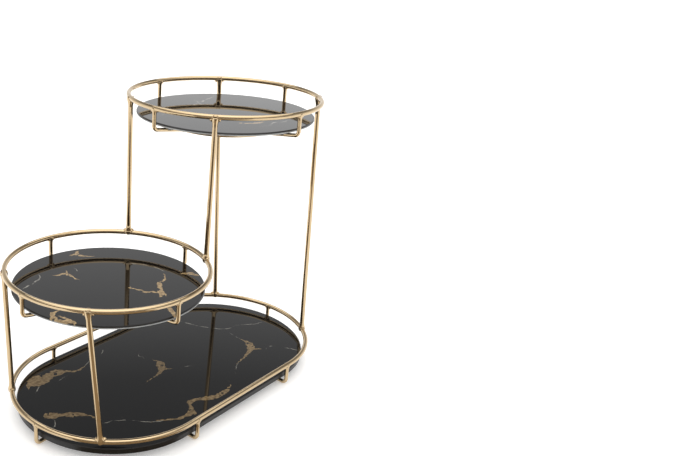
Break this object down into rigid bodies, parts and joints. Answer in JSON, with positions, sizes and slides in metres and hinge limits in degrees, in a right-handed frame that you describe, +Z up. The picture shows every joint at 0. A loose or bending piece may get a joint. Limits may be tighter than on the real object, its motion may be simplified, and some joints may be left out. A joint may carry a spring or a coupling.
{
  "type": "tiered cake stand",
  "caption": "Tiered stand for cakes and small bottles: bent gold wire rails, posts and hooks carry a long low tray and round middle and top trays of black marble-print glass.",
  "frame": {"origin": "bottom centre of the whole stand's box, on the plane that the feet stand on", "axes": "+Z up, X along the long low tray with the top tier towards +X and the middle tier towards -X, Y across it"},
  "size_m": [0.3716, 0.206, 0.295],
  "materials": {
    "gold_wire": "satin champagne-gold plating on steel wire",
    "marble_glass": "polished, opaque black marble print with gold and white veins",
    "clear_pad": "clear soft plastic"
  },
  "bodies": {
    "frame": {"base_hook_back_left": "gold_wire", "base_hook_back_right": "gold_wire", "base_hook_front_left": "gold_wire", "base_hook_front_right": "gold_wire", "base_hook_left": "gold_wire", "base_hook_right": "gold_wire", "base_pad_back_left": "clear_pad", "base_pad_back_right": "clear_pad", "base_pad_front_left": "clear_pad", "base_pad_front_right": "clear_pad", "base_pad_left": "clear_pad", "base_pad_right": "clear_pad", "base_rail": "gold_wire", "left_post_back": "gold_wire", "left_post_front": "gold_wire", "middle_hook_back": "gold_wire", "middle_hook_front": "gold_wire", "middle_hook_left": "gold_wire", "middle_hook_right": "gold_wire", "middle_pad_back": "clear_pad", "middle_pad_front": "clear_pad", "middle_pad_left": "clear_pad", "middle_pad_right": "clear_pad", "middle_rail": "gold_wire", "middle_support_ring": "gold_wire", "right_post_back": "gold_wire", "right_post_front": "gold_wire", "top_hook_back": "gold_wire", "top_hook_front": "gold_wire", "top_hook_left": "gold_wire", "top_hook_right": "gold_wire", "top_pad_back": "clear_pad", "top_pad_front": "clear_pad", "top_pad_left": "clear_pad", "top_pad_right": "clear_pad", "top_rail": "gold_wire", "top_support_ring": "gold_wire", "upper_post_back": "gold_wire", "upper_post_front": "gold_wire"},
    "low_tray": {"base_tray": "marble_glass"},
    "middle_tray": {"middle_tray": "marble_glass"},
    "top_tray": {"top_tray": "marble_glass"}
  },
  "joints": [
    {"name": "low_tray_lift", "type": "slide", "parent": "frame", "child": "low_tray", "axis": [0, 0, 1], "range_m": [0, 0.04]},
    {"name": "middle_tray_lift", "type": "slide", "parent": "frame", "child": "middle_tray", "axis": [0, 0, 1], "range_m": [0, 0.12]},
    {"name": "top_tray_lift", "type": "slide", "parent": "frame", "child": "top_tray", "axis": [0, 0, 1], "range_m": [0, 0.12]}
  ]
}
